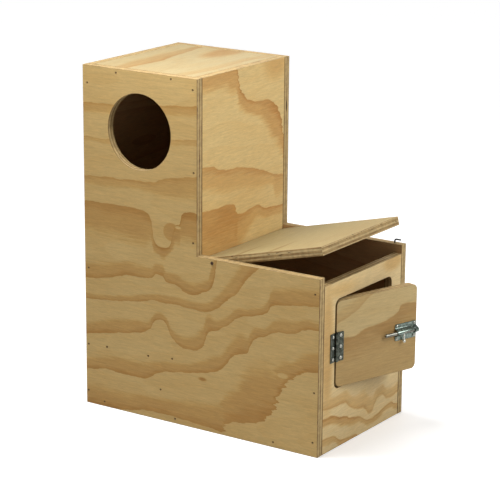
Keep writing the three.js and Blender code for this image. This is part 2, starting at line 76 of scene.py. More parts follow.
class Graph:
    """A material's node tree. Each call adds a node and returns its output."""

    def __init__(self, name, seed=0.0):
        self.seed = seed
        self.material = bpy.data.materials.new(name)
        self.material.use_nodes = True
        self.tree = self.material.node_tree
        self.tree.nodes.clear()
        output = self.tree.nodes.new("ShaderNodeOutputMaterial")
        self.shader = self.tree.nodes.new("ShaderNodeBsdfPrincipled")
        self.tree.links.new(self.shader.outputs["BSDF"], output.inputs["Surface"])

    def put(self, socket, value):
        if isinstance(value, bpy.types.NodeSocket):
            self.tree.links.new(value, socket)
        else:
            socket.default_value = value

    def node(self, kind, values=(), **settings):
        """Adds a node. `values` are pairs of an input, by name or number, and what goes into it."""
        node = self.tree.nodes.new("ShaderNode" + kind)
        for name, setting in settings.items():
            setattr(node, name, setting)
        for name, value in dict(values).items():
            self.put(node.inputs[name], value)
        return node

    def surface(self, values):
        """Sets the shader's inputs by name, to outputs or to constants."""
        for name, value in values.items():
            self.put(self.shader.inputs[name], value)

    def math(self, operation, *values):
        return self.node("Math", enumerate(values), operation=operation).outputs[0]

    def times(self, a, b):
        return self.math("MULTIPLY", a, b)

    def moved(self, value, noise, amount):
        """`value` plus or minus up to half of `amount`, as the noise says."""
        return self.math("MULTIPLY_ADD", self.math("SUBTRACT", noise, 0.5), amount, value)

    def vector(self, operation, *values):
        node = self.node("VectorMath", enumerate(values), operation=operation)
        return node.outputs["Value" if operation == "LENGTH" else "Vector"]

    @cached_property
    def place(self):
        """Where the point is on its own piece, in millimetres."""
        coordinates = self.node("TexCoord").outputs["Object"]
        return self.vector("MULTIPLY", coordinates, (1 / MM, 1 / MM, 1 / MM))

    @cached_property
    def xyz(self):
        return self.node("SeparateXYZ", {0: self.place}).outputs[:]

    def away(self, centre, half_sizes):
        """How far the point is from a centre: 1 on the ellipsoid of those half sizes."""
        offset = self.vector("SUBTRACT", self.place, centre)
        return self.vector("LENGTH", self.vector("DIVIDE", offset, half_sizes))

    def noise(self, kind, extra_seed=0.0):
        """Noise from 0 to 1."""
        seed = self.seed + kind.seed + extra_seed
        scaled = self.vector("DIVIDE", self.place, kind.size)
        # Three shares of the seed that never bring two seeds' noise to the same place.
        shifted = self.vector("ADD", scaled, (seed * 3.7, seed * 5.3, seed * 7.1))
        values = {"Vector": shifted, "Scale": 1.0, "Detail": kind.detail, "Roughness": kind.roughness}
        return self.node("TexNoise", values).outputs["Fac"]

    def spread(self, value, low, high, to_low=0.0, to_high=1.0, kind="SMOOTHSTEP"):
        """Maps low..high to to_low..to_high and holds the ends."""
        values = {"Value": value, "From Min": low, "From Max": high, "To Min": to_low, "To Max": to_high}
        return self.node("MapRange", values, interpolation_type=kind).outputs["Result"]

    def drawn(self, share, points, length, height):
        """The height of a smooth line through the points, at that share of the length."""
        node = self.node("FloatCurve", {"Value": share})
        node.mapping.use_clip = False
        curve = node.mapping.curves[0]
        places = [(x / length, y / height) for x, y in points]
        curve.points[0].location = places[0]
        curve.points[1].location = places[-1]
        for x, y in places[1:-1]:
            curve.points.new(x, y)
        for point in curve.points:
            point.handle_type = "AUTO_CLAMPED"
        node.mapping.update()
        return self.times(node.outputs["Value"], height)

    def ramp(self, value, stops):
        node = self.node("ValToRGB", {"Fac": value})
        elements = node.color_ramp.elements
        while len(elements) < len(stops):
            elements.new(1.0)
        for element, (position, colour) in zip(elements, stops):
            element.position = position
            element.color = (*colour, 1.0)
        return node.outputs["Color"]

    def mix(self, share, a, b, blend="MIX"):
        node = self.node("Mix", {"Factor": share}, data_type="RGBA", blend_type=blend)
        sockets = [socket for socket in node.inputs if socket.type == "RGBA"]
        for socket, colour in zip(sockets, (a, b)):
            self.put(socket, (*colour, 1.0) if isinstance(colour, tuple) else colour)
        return next(socket for socket in node.outputs if socket.type == "RGBA")

    def brighten(self, colour, factor):
        """The colour times a number that varies over the surface."""
        grey = self.node("CombineXYZ", {0: factor, 1: factor, 2: factor}).outputs[0]
        return self.mix(1.0, colour, grey, "MULTIPLY")

    def bump(self, height, distance, strength):
        """`distance` is in millimetres."""
        values = {"Strength": strength, "Distance": distance * MM, "Height": height}
        self.surface({"Normal": self.node("Bump", values).outputs["Normal"]})


# ---------- plywood faces

# A growth ring crosses a panel as a line. The wood darkens slowly towards the line from one side
# and is pale again just past it. `line` is (along, up) points in millimetres. `width` is how far
# the darkening reaches: one number, or (along, width) points. `below` says that it is on the
# line's lower side, `feather` is how far the line's edge is torn along the grain, and `soft` is
# half of how far the edge takes to fade.
Ring = namedtuple("Ring", "line width depth below feather soft", defaults=(False, 0.0, 0.8))

# A knot, a stain or a place of painted shade: an ellipse with a soft rim. A patch with a depth below 0
# is paler instead.
Patch = namedtuple("Patch", "along up half_along half_up depth rim", defaults=(0.3,))

FRONT_RINGS = [
    Ring([(0, 544), (55, 547), (120, 551), (170, 558), (240, 564), (485, 590)], 20, 0.72, below=True),
    Ring([(0, 485), (55, 486), (120, 494), (187, 502), (240, 508), (485, 530)],
         [(0, 9), (187, 13), (485, 18)], 0.6, below=True),
    Ring([(0, 416), (50, 418), (100, 421), (150, 423), (165, 430), (200, 438), (240, 444),
          (485, 470)],
         [(0, 17), (140, 20), (170, 38), (205, 46), (485, 46)], 0.66, below=True),
    Ring([(0, 371), (115, 373), (132, 370), (142, 362), (147, 342), (150, 324), (158, 314),
          (172, 313), (183, 316), (189, 332), (196, 355), (204, 358), (208, 374), (216, 381),
          (232, 383), (245, 379), (485, 470)],
         [(0, 66), (90, 70), (125, 74), (138, 60), (147, 36), (158, 20), (168, 26), (183, 16),
          (192, 36), (204, 44), (214, 60), (485, 90)], 0.86, below=True),
    Ring([(0, 230), (50, 238), (90, 250), (130, 252), (145, 254), (154, 262), (168, 263), (176, 252),
          (198, 250), (212, 242), (226, 239), (258, 249), (272, 262), (278, 283), (281, 306),
          (300, 340), (485, 400)],
         [(0, 38), (50, 34), (130, 26), (165, 24), (190, 22), (226, 26), (262, 24), (274, 48),
          (485, 48)], 0.8),
    Ring([(0, 195), (50, 197), (115, 207), (150, 214), (200, 215), (250, 212), (280, 222), (300, 239),
          (325, 260), (340, 282), (362, 303), (380, 320), (485, 380)],
         [(0, 12), (115, 14), (200, 16), (250, 20), (300, 34), (325, 48), (485, 50)], 0.75),
    Ring([(0, 128), (50, 138), (110, 150), (140, 161), (150, 177), (165, 183), (176, 177), (185, 158),
          (200, 145), (230, 139), (252, 149), (261, 172), (268, 180), (282, 185), (300, 195),
          (325, 215), (360, 224), (383, 234), (391, 247), (410, 251), (440, 256), (485, 262)],
         [(0, 24), (50, 30), (110, 26), (165, 15), (200, 22), (230, 30), (256, 42), (280, 22),
          (320, 20), (345, 15), (380, 22), (400, 36), (485, 34)], 0.8),
    Ring([(0, 63), (60, 70), (120, 68), (165, 87), (215, 97), (265, 107), (284, 114), (299, 125),
          (312, 142), (326, 152), (343, 155), (350, 170), (361, 185), (380, 192), (392, 200),
          (440, 208), (456, 217), (485, 222)],
         [(0, 26), (60, 32), (120, 36), (165, 24), (225, 20), (262, 30), (299, 34), (330, 42),
          (350, 30), (380, 18), (405, 28), (440, 26), (485, 18)], 0.75),
    Ring([(0, -3), (75, 2), (150, 12), (225, 10), (290, 6), (298, 20), (340, 31), (362, 36),
          (378, 46), (396, 60), (404, 82), (412, 100), (424, 118), (436, 130), (456, 143),
          (485, 150)],
         [(0, 48), (150, 34), (225, 42), (270, 50), (298, 62), (322, 76), (340, 108), (362, 122),
          (380, 116), (400, 84), (424, 50), (440, 34), (460, 38), (485, 46)], 0.8, feather=10.0),
]
FRONT_PATCHES = [
    Patch(252, 92, 8, 3.2, 0.95, 0.6), Patch(104, 263, 5, 2, 0.35, 0.8),
    Patch(187, 342, 17, 16, 0.62, 0.12), Patch(201, 352, 6, 2.5, -0.9),
    Patch(415, 130, 10, 4.5, -0.9),
]
TOWER_RINGS = [
    Ring([(0, 358), (98, 352), (105, 328), (112, 301), (123, 290), (142, 277), (164, 272), (185, 272),
          (213, 263), (231, 247), (243, 220), (249, 197)],
         [(0, 58), (65, 56), (90, 70), (104, 62), (112, 40), (123, 33), (142, 28), (164, 32),
          (185, 48), (213, 76), (231, 78), (249, 46)], 0.95, below=True, feather=5.0),
    Ring([(0, 185), (27, 181), (65, 169), (107, 166), (142, 158), (181, 148), (212, 136), (230, 130),
          (249, 127)],
         [(0, 52), (107, 48), (181, 40), (212, 24), (226, 50), (249, 40)], 0.72, below=True,
          feather=3.0),
    Ring([(0, 108), (65, 106), (96, 104), (102, 88), (125, 83), (167, 87), (195, 76), (226, 74),
          (249, 73)],
         [(0, 300), (96, 300), (110, 90), (150, 36), (195, 22), (249, 20)], 0.8, below=True,
          feather=3.0),
]
TOWER_PATCHES = [Patch(222, 330, 34, 26, 0.55, 0.7)]
END_RINGS = [
    Ring([(0, 62), (37, 59), (54, 53), (72, 48), (90, 41), (107, 36), (119, 34), (133, 26), (151, 19),
          (177, 20), (194, 24), (212, 28), (228, 28), (238, 23), (249, 19)],
         [(0, 15), (54, 20), (107, 16), (133, 12), (249, 12)], 1.0, below=True, soft=1.6),
    Ring([(0, 78), (37, 74), (72, 72), (82, 65), (96, 56), (107, 51), (124, 46), (133, 44), (142, 38),
          (147, 31), (156, 28), (163, 31), (170, 42), (177, 49), (194, 51), (208, 42), (228, 38),
          (249, 42)],
         [(0, 22), (96, 26), (147, 40), (170, 26), (249, 20)], 0.75, soft=2.2),
    Ring([(0, 26), (19, 25), (40, 21), (54, 12), (72, 8), (107, 5), (124, -4), (249, -40)],
         14, 0.85, below=True, soft=1.6),
]
END_PATCHES = [
    Patch(221, 285, 30, 14, 0.5, 0.5), Patch(46, 276, 52, 11, 0.38, 0.8),
    # The last patch darkens a tall strip by the panel's front edge, beside the door.
    Patch(12, 180, 16, 110, 0.6, 0.6),
]
DOOR_RINGS = [
    Ring([(0, 81), (15, 84), (43, 85), (67, 93), (95, 95), (119, 101), (137, 109), (141, 118),
          (159, 120), (178, 118)],
         170, 0.82, below=True, soft=2.6),
    Ring([(0, 108), (5, 111), (35, 122), (52, 131), (75, 147), (178, 200)], 26, 0.6, soft=1.6),
]
TOP_RINGS = [
    Ring([(0, 142), (50, 139), (90, 136), (140, 146), (190, 152), (249, 160)],
         [(0, 30), (90, 48), (140, 38), (249, 16)], 0.85, feather=3.0, soft=1.6),
    Ring([(0, 212), (90, 208), (170, 216), (249, 210)], 24, 0.55, soft=2.0),
    Ring([(0, 22), (90, 12), (170, 16), (249, 4)], 24, 0.5, soft=2.0),
]
TOP_PATCHES = [Patch(240, 96, 76, 27, 0.75, 0.4), Patch(228, 226, 30, 16, 0.6, 0.6)]
LID_PATCHES = [
    Patch(0, 172, 80, 5, 0.7, 0.7), Patch(0, 106, 95, 6, 0.75, 0.7),
    # The last patch is painted shade: it darkens the lid towards its free end.
    Patch(125, 0, 500, 130, 0.5, 0.9),
]

# The colours of a board's wood, from its palest to the rim of a growth ring.
Palette = namedtuple("Palette", "pale tan late rim")
SANDED = Palette((0.633, 0.437, 0.174), (0.578, 0.361, 0.121),
                 (0.450, 0.229, 0.058), (0.375, 0.177, 0.042))
HONEY = Palette((0.740, 0.540, 0.232), (0.700, 0.456, 0.170),
                (0.540, 0.278, 0.078), (0.445, 0.208, 0.052))
# KHAKI, the door's, is darker than CREAM, the end panel's, partly as painted shade; see the door.
KHAKI = Palette((0.565, 0.420, 0.196), (0.522, 0.360, 0.148),
                (0.405, 0.238, 0.081), (0.325, 0.172, 0.054))
CREAM = Palette((0.750, 0.570, 0.288), (0.680, 0.462, 0.192),
                (0.535, 0.300, 0.092), (0.440, 0.215, 0.060))
OLIVE = Palette((0.455, 0.366, 0.180), (0.412, 0.317, 0.146),
                (0.290, 0.185, 0.067), (0.210, 0.120, 0.040))
PALE = Palette((0.438, 0.346, 0.180), (0.422, 0.299, 0.135),
               (0.366, 0.213, 0.073), (0.306, 0.161, 0.048))
ROUGH = Palette((0.520, 0.325, 0.150), (0.460, 0.270, 0.118),
                (0.360, 0.192, 0.074), (0.280, 0.136, 0.048))
SHADES = (0.0, 0.34, 0.78, 1.0)  # how dark the wood is where each of those colours belongs

WANDER = Noise((26, 12, 40), 3, 0.55, 0)  # of a drawn ring's line
TEAR = Noise((70, 9, 40), 3, 0.65, 0)  # of its edge, along the grain
FRAY = Noise((60, 3.5, 30), 4, 0.65, 9)  # of where its darkening ends
LAND = Noise((420, 95, 90), 2, 0.40, 0)  # a surface whose height lines are a board's rings
STREAKS = Noise((38, 1.1, 8), 4, 0.62, 1)
CLOUDS = Noise((90, 45, 30), 2, 0.5, 2)
FIBRES = Noise((9, 0.35, 3), 3, 0.7, 3)
DASHES = Noise((17, 0.8, 5), 2, 0.5, 6)
RIBBONS = Noise((24, 2.6, 9), 3, 0.6, 7)
FLECKS = Noise((6, 1.3, 5), 2, 0.6, 8)

WAVE = 8.8  # how far, in millimetres, a ring's line may wander in all
TORN = 4.0  # the same of its torn edge, for each millimetre of its feather
FRAYED = 0.55  # the same of where its darkening ends, as a share of its width
WIDEST = 300.0  # no ring's darkening is wider than this
PLATEAU = 0.55  # the share of a ring's width that is as dark as its band gets
BAND = 0.66  # how dark that is, against the rim along the ring's line
LAND_RINGS = 7.0  # rings from the surface's lowest place to its highest
GROWN_DEPTH = 0.8  # how dark they get
GROWN_TILT, BETWEEN_TILT = 0.012, 0.004  # of the surface, on a board without drawn rings and with
FAINT = 0.16  # how dark the grown rings between drawn ones are, as a share
THROUGH = 1e6  # a patch goes right through the board


def drawn_rings(graph, rings, size):
    """How dark the rings make the wood, from 0 to 1."""
    along, up, _ = graph.xyz
    wavy = graph.moved(up, graph.noise(WANDER), WAVE)
    fray = graph.noise(FRAY)
    total = 0.0
    for number, ring in enumerate(rings):
        torn = graph.moved(along, graph.noise(TEAR, number), TORN * (ring.feather + 1))
        share = graph.math("DIVIDE", torn, size.x)
        line = graph.drawn(share, ring.line, size.x, size.y)
        width = ring.width
        if isinstance(width, list):
            width = graph.drawn(share, width, size.x, WIDEST)
        inside = graph.math("SUBTRACT", *((line, wavy) if ring.below else (wavy, line)))
        edge = graph.spread(inside, -ring.soft, ring.soft)
        away = graph.moved(graph.math("DIVIDE", inside, width), fray, FRAYED)
        band = graph.spread(away, PLATEAU, 1.05, BAND, 0.0)
        rim = graph.spread(away, 0.0, 0.35, 1.0 - BAND, 0.0)
        shade = graph.times(edge, graph.math("ADD", band, rim))
        total = graph.math("MAXIMUM", total, graph.times(shade, ring.depth))
    return total


def grown_rings(graph, tilt, extra_seed=0.0):
    """Rings of a board that nobody has drawn: the height lines of a smooth rolling surface, which
    rises by `tilt` of a ring for each millimetre up."""
    _, up, _ = graph.xyz
    land = graph.noise(LAND, extra_seed)
    height = graph.math("MULTIPLY_ADD", land, LAND_RINGS, graph.times(up, tilt))
    phase = graph.math("FRACT", height)
    darkening = graph.math("POWER", phase, 2.2)
    end = graph.spread(phase, 0.97, 1.0, 1.0, 0.0)
    return graph.times(graph.times(darkening, end), GROWN_DEPTH)


def with_patch(graph, dark, patch):
    """The darkness `dark` with a patch laid over it."""
    half_sizes = (patch.half_along, patch.half_up, THROUGH)
    away = graph.away((patch.along, patch.up, 0.0), half_sizes)
    shade = graph.spread(away, 1 + patch.rim, 1 - patch.rim, 0.0, patch.depth)
    if patch.depth > 0:
        return graph.math("MAXIMUM", dark, shade)
    return graph.times(dark, graph.math("ADD", shade, 1.0))


def wood_face(name, palette, size, rings, patches, seed, contrast):
    """A sliced pine face with its grain along the piece's own X. `contrast` is of grown rings."""
    graph = Graph(name, seed)
    if rings:
        faint = graph.times(grown_rings(graph, BETWEEN_TILT, extra_seed=4), FAINT)
        dark = graph.math("MAXIMUM", drawn_rings(graph, rings, size), faint)
    else:
        dark = graph.times(grown_rings(graph, GROWN_TILT), contrast)
    for patch in patches:
        dark = with_patch(graph, dark, patch)
    streaks = graph.noise(STREAKS)
    colour = graph.ramp(graph.moved(dark, streaks, 0.16), list(zip(SHADES, palette)))
    warm = graph.spread(graph.noise(CLOUDS), 0.35, 0.7, 0.0, 0.3)
    colour = graph.mix(warm, colour, tuple(1.02 * c for c in palette.tan))
    fibres = graph.noise(FIBRES)
    fine = graph.spread(streaks, 0.2, 0.8, 0.90, 1.08, kind="LINEAR")
    colour = graph.brighten(colour, graph.times(fine, graph.spread(fibres, 0.25, 0.75, 0.88, 1.09)))
    ribbons = graph.noise(RIBBONS)
    colour = graph.brighten(colour, graph.spread(ribbons, 0.25, 0.75, 0.89, 1.09, kind="LINEAR"))
    flecks = graph.spread(graph.noise(FLECKS), 0.6, 0.8, 0.0, 0.35)
    colour = graph.mix(flecks, colour, palette.late)
    dashes = graph.noise(DASHES)
    colour = graph.mix(graph.spread(dashes, 0.64, 0.8, 0.0, 0.5), colour, palette.rim)
    graph.surface({
        "Base Color": colour,
        "Roughness": graph.spread(streaks, 0.2, 0.8, 0.50, 0.68),
        "Specular IOR Level": 0.28,
    })
    graph.bump(graph.math("ADD", fibres, graph.times(dashes, -0.6)), 0.10, 0.35)
    return graph.material


# ---------- plywood edges

PLIES = (0.155, 0.385, 0.615, 0.845)  # where the glue lines are, as shares of the thickness
GLUE_WIDTH = 0.02  # half of a glue line, as such a share
# An edge's borders are darkened to the glue's colour: painted shade for the dark line where two boards
# meet.
ARRIS = 0.05  # how far an edge's border is darkened, as such a share
GLUE_AND_SEAM_SHADE = (0.260, 0.150, 0.058)
LONG_GRAIN = (0.570, 0.418, 0.200)
END_GRAIN = (0.415, 0.280, 0.118)
BURNT = (0.200, 0.108, 0.040)  # end grain where it is darkest
# The shade inside a gap in a ply, painted nearly black.
VOID_SHADE = (0.050, 0.024, 0.010)
WHITE, BLACK = (1.0, 1.0, 1.0), (0.0, 0.0, 0.0)

WOBBLE = Noise((22, 22, 400), 2, 0.5, 0)  # of the plies, across them
CUT_STREAKS = Noise((30, 30, 0.5), 3, 0.65, 1)
PORES = Noise((0.9, 0.9, 0.5), 2, 0.6, 2)
CUT_BANDS = Noise((7, 7, 14), 2, 0.5, 3)
GAPS = Noise((16, 16, 2.2), 1, 0.5, 5)
BURNS = Noise((45, 45, 5), 3, 0.6, 8)


def ply_stops(kinds, half, glue=()):
    """Ramp stops for plies of two kinds in turn, with a glue line of that half width between them."""
    stops = []
    for number, place in enumerate(PLIES):
        before, after = kinds[number % 2], kinds[(number + 1) % 2]
        stops += [(place - half, before), *((place, colour) for colour in glue), (place + half, after)]
    return stops


def ply_edge(name, thickness, end_outside, tint, seed, voids):
    """A cut edge, whose plies lie across the piece's own Z. In the edge that runs along the face's
    grain the outer plies show long grain; in the one that runs across it they show end grain.
    `voids` are gaps in a ply: the x, y and z of each, and its half sizes along them."""
    graph = Graph(name, seed)
    level = graph.moved(graph.xyz[2], graph.noise(WOBBLE), 0.9)
    level = graph.math("DIVIDE", level, thickness)
    grains, ends = (LONG_GRAIN, END_GRAIN), (BLACK, WHITE)
    if end_outside:
        grains, ends = grains[::-1], ends[::-1]
    plies = ply_stops(grains, GLUE_WIDTH, [GLUE_AND_SEAM_SHADE])
    outer = grains[0]
    # Glue lines between the plies; at the two borders the same colour is painted shade for the seam
    # between boards.
    stops = [(0.0, GLUE_AND_SEAM_SHADE), (ARRIS, outer), *plies, (1 - ARRIS, outer), (1.0, GLUE_AND_SEAM_SHADE)]
    colour = graph.ramp(level, stops)
    burns = graph.spread(graph.noise(BURNS), 0.42, 0.72, 0.0, 0.75)
    colour = graph.mix(graph.times(graph.ramp(level, ply_stops(ends, 0.015)), burns), colour, BURNT)
    streaks = graph.noise(CUT_STREAKS)
    pores = graph.noise(PORES)
    bands = graph.noise(CUT_BANDS)
    light = graph.spread(streaks, 0.2, 0.8, 0.78, 1.15)
    light = graph.times(light, graph.spread(pores, 0.3, 0.7, 0.9, 1.06))
    light = graph.times(light, graph.spread(bands, 0.3, 0.7, 0.86, 1.10))
    # tint darkens the whole cut edge: painted shade, for the shade in the gap round the door.
    colour = graph.brighten(colour, graph.times(light, tint))
    # Gaps in the plies: painted shade inside them, with a dent in the bump.
    gap = graph.spread(graph.noise(GAPS), 0.70, 0.76)
    for void in voids:
        away = graph.away(void[:3], void[3:])
        gap = graph.math("MAXIMUM", gap, graph.spread(away, 1.3, 0.8))
    graph.surface({
        "Base Color": graph.mix(graph.times(gap, 0.85), colour, VOID_SHADE),
        "Roughness": graph.spread(pores, 0.3, 0.7, 0.62, 0.78),
        "Specular IOR Level": 0.22,
    })
    graph.bump(graph.math("MULTIPLY_ADD", gap, -4.0, streaks), 0.12, 0.5)
    return graph.material


# ---------- metal

HAZE = Noise((5, 5, 5), 3, 0.6, 2)
SPOTS = Noise((0.9, 0.9, 0.9), 3, 0.65, 5)
SCRATCHES = Noise((6, 0.12, 0.12), 2, 0.5, 8)


def metal(name, colour, dull, roughness, wear=0.0, bare=1.0):
    """Plated or bare steel: cloudy, with fine scratches and small duller spots. `wear` is how much
    the spots roughen it and `bare` the share of it that no rust or dirt covers."""
    graph = Graph(name)
    spots = graph.noise(SPOTS)
    share = graph.math("MULTIPLY_ADD", spots, 0.3, graph.times(graph.noise(HAZE), 0.7))
    graph.surface({
        "Base Color": graph.mix(graph.spread(share, 0.38, 0.62), colour, dull),
        "Roughness": graph.spread(share, 0.35, 0.65, roughness * 0.85, roughness * (1.2 + wear)),
        "Metallic": bare,
    })
    graph.bump(graph.math("MULTIPLY_ADD", graph.noise(SCRATCHES), 0.5, spots), 0.006, 0.25 + wear)
    return graph.material


HINGE_ZINC = metal("hinge_zinc", (0.150, 0.165, 0.135), (0.065, 0.072, 0.056), 0.32)
BOLT_ZINC = metal("bolt_zinc", (0.335, 0.405, 0.355), (0.185, 0.232, 0.202), 0.25)
BRIGHT_ZINC = metal("bright_zinc", (0.820, 0.815, 0.730), (0.600, 0.600, 0.530), 0.28)
PIN_STEEL = metal("pin_steel", (0.080, 0.084, 0.076), (0.040, 0.040, 0.036), 0.34)
ROD_STEEL = metal("rod_steel", (0.330, 0.325, 0.280), (0.220, 0.218, 0.185), 0.26)
WIRE = metal("galvanised_wire", (0.330, 0.325, 0.290), (0.190, 0.185, 0.160), 0.36, wear=0.3)
DARK_STEEL = metal("dark_steel", (0.170, 0.105, 0.060), (0.085, 0.050, 0.027), 0.50, wear=0.2, bare=0.5)
NAIL_STEEL = metal("nail_steel", (0.130, 0.066, 0.026), (0.075, 0.036, 0.014), 0.65, wear=0.3, bare=0.3)

# ---------- mesh helpers


def turned(degrees, axis):
    return Matrix.Rotation(math.radians(degrees), 4, axis)


def added(name, data):
    """A new object in the scene."""
    made = bpy.data.objects.new(name, data)
    bpy.context.scene.collection.objects.link(made)
    return made


def as_mesh(name, bm):
    mesh = bpy.data.meshes.new(name)
    bm.to_mesh(mesh)
    bm.free()
    return mesh


def piece(name, mesh, materials, body, matrix=None):
    """Puts a mesh in the scene as a piece that rides on a body."""
    made = added(name, mesh)
    if matrix is not None:
        made.matrix_world = matrix
    for material in materials:
        mesh.materials.append(material)
    bpy.context.view_layer.update()
    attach(made, body)
    return made


def finished(bm, name, angle=35.0, flat=lambda face: False):
    """The bmesh as a mesh, smooth except at edges sharper than `angle` degrees and on flat faces."""
    bmesh.ops.recalc_face_normals(bm, faces=bm.faces)
    smooth = [not flat(face) for face in bm.faces]
    mesh = as_mesh(name, bm)
    mesh.set_sharp_from_angle(angle=math.radians(angle))
    mesh.polygons.foreach_set("use_smooth", smooth)
    return mesh


def stand_in(node, ending, bm, material, body, matrix=None, angle=35.0):
    """A detailed piece of one material in place of a CAD node, named after it."""
    name = node + ending
    made = piece(name, finished(bm, name, angle), [material], body, matrix)
    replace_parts(made, node)


def reach(node, matrix):
    """The node's lowest and highest corners in the matrix's frame."""
    inverse = matrix.inverted()
    places = [inverse @ vertex.co for vertex in frame["nodes"][node].data.vertices]
    return [Vector([pick(place[i] for place in places) for i in range(3)]) for pick in (min, max)]


def board_frame(node, along, up, turn):
    """The frame of a board's own axes, with its origin at the board's lowest corner in them, and its
    size. Its Z is the way the board's good face looks. `turn` is how the board stands at rest."""
    axes = turn @ Matrix((along, up, along.cross(up))).transposed().to_4x4()
    low, high = reach(node, axes)
    return axes @ Matrix.Translation(low), high - low


def face_loops(node, matrix, level):
    """The outlines of the node's face at Z = level in that frame, with the face on their left."""
    inverse = matrix.inverted()
    mesh = frame["nodes"][node].data
    edges = {}
    for polygon in mesh.polygons:
        corners = [inverse @ mesh.vertices[i].co for i in polygon.vertices]
        if min(corner.z for corner in corners) < level - 0.01 * MM:
            continue
        keys = [(round(corner.x, 6), round(corner.y, 6)) for corner in corners]
        for start, end in zip(keys, keys[1:] + keys[:1]):
            if (end, start) in edges:
                del edges[end, start]
            else:
                edges[start, end] = True
    following = {start: end for start, end in edges}
    loops = []
    while following:
        start, point = following.popitem()
        loop = [start]
        while point != start:
            loop.append(point)
            point = following.pop(point)
        loops.append([Vector(p) for p in loop])
    return loops


def corners_of(loop):
    """Each point of a closed loop, with the directions of the stretches before and after it."""
    for before, point, after in zip(loop[-1:] + loop[:-1], loop, loop[1:] + loop[:1]):
        yield point, (point - before).normalized(), (after - point).normalized()


def straightened(loop):
    """The loop without the points that lie on straight stretches."""
    return [point for point, a, b in corners_of(loop) if abs(a.x * b.y - a.y * b.x) > 0.01]


def circle(centre, radius, count, clockwise=False):
    sign = -1 if clockwise else 1
    turns = [sign * 2 * math.pi * i / count for i in range(count)]
    return [Vector(centre) + radius * Vector((math.cos(turn), math.sin(turn))) for turn in turns]


def rounder(loop, count=128):
    """A loop that is a circle gets more points; any other loop stays."""
    centre = sum(loop, Vector((0, 0))) / len(loop)
    radii = [(point - centre).length for point in loop]
    if len(loop) < 8 or max(radii) - min(radii) > 0.02 * max(radii):
        return loop
    return circle(centre, max(radii), count, clockwise=True)


def inset(loop, distance):
    """The loop moved `distance` to its left, with mitred corners."""
    moved = []
    for point, a, b in corners_of(loop):
        left_a, left_b = Vector((-a.y, a.x)), Vector((-b.y, b.x))
        middle = (left_a + left_b).normalized()
        moved.append(point + middle * distance / max(middle.dot(left_a), 0.2))
    return moved


def walls(bm, rings):
    """Faces between each ring of vertices and the next, which has as many. Returns them."""
    faces = []
    for lower, upper in zip(rings, rings[1:]):
        for i in range(len(lower)):
            j = (i + 1) % len(lower)
            faces.append(bm.faces.new((lower[i], lower[j], upper[j], upper[i])))
    return faces


def closed(bm, rings):
    """The same with a face over each end."""
    bm.faces.new(rings[0][::-1])
    bm.faces.new(rings[-1])
    walls(bm, rings)
    return bm


def eased_levels(thickness, ease, steps=2):
    """(inset, z) for the rings of a board whose long edges are rounded to the radius `ease`."""
    turns = [90 * i / steps for i in range(steps + 1)]
    lower = [(ease * (1 - sin(turn)), ease * (1 - cos(turn))) for turn in turns]
    return lower + [(pull, thickness - z) for pull, z in reversed(lower)]


def slab(loops, thickness, ease):
    """A flat piece with the given outlines, from Z = 0 to `thickness`, with rounded edges.
    Its material slots are 0 the face at the top, 1 the one below, 2 and 3 the sides along X and Y."""
    bm = bmesh.new()
    levels = eased_levels(thickness, ease)
    caps = {0: [], -1: []}
    for loop in loops:
        rings = [[bm.verts.new((*point, z)) for point in inset(loop, pull)] for pull, z in levels]
        for number, side in enumerate(walls(bm, rings)):
            step = loop[(number + 1) % len(loop)] - loop[number % len(loop)]
            side.material_index = 2 if abs(step.x) >= abs(step.y) else 3
        for level in caps:
            ring = rings[level]
            caps[level] += [bm.edges.get(pair) for pair in zip(ring, ring[1:] + ring[:1])]
    for level, edges in caps.items():
        made = bmesh.ops.triangle_fill(bm, use_beauty=True, use_dissolve=False, edges=edges)
        for face in made["geom"]:
            if isinstance(face, bmesh.types.BMFace):
                face.material_index = 1 if level == 0 else 0
    return bm


# ---------- plywood panels

EASE = 0.6 * MM
SMALL_HOLE = 6 * MM  # screw and pilot holes are narrower than this
INSIDE_SEED = 20  # how far a board's inside is from its face, in seeds
INSIDE_CONTRAST = 0.6


def joint_turn(name):
    """The rotation that a hinge has at rest, from its low limit."""
    joint = JOINTS[name]
    return turned(-joint["range_deg"][0], Vector(joint["axis"]))


def width_of(loop):
    return max(p.x for p in loop) - min(p.x for p in loop)


def board_looks(
    name, size, palette, seed, rings=None, patches=(), contrast=1.0, tint=1.0, voids=()
):
    """A board's four materials, in the order of a slab's material slots."""
    return [
        wood_face(name + "_face", palette, size, rings, patches, seed, contrast),
        wood_face(name + "_inside", ROUGH, size, None, (), seed + INSIDE_SEED, INSIDE_CONTRAST),
        ply_edge(name + "_edge_along", size.z, False, tint, seed, voids),
        ply_edge(name + "_edge_across", size.z, True, tint, seed, voids),
    ]


def plywood(
    node, body, slot, along, up, look, palette, seed, turn=Matrix.Identity(4), holes=(), **figure
):
    """A plywood piece in place of a CAD board. `holes` are (x, y, radius) in the board's frame,
    `look` starts its materials' names and `figure` is the rest of what board_looks takes."""
    matrix, size = board_frame(node, along, up, turn)
    loops = [straightened(loop) for loop in face_loops(node, matrix, size.z)]
    loops = [rounder(loop) for loop in loops if width_of(loop) > SMALL_HOLE]
    loops += [circle((x, y), radius, 16, clockwise=True) for x, y, radius in holes]
    name = node + "_board"
    mesh = finished(slab(loops, size.z, EASE), name, flat=lambda face: face.material_index < 2)
    materials = board_looks(look, size / MM, palette, seed, **figure)
    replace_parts(piece(name, mesh, materials, body, matrix), node)
    return matrix, size


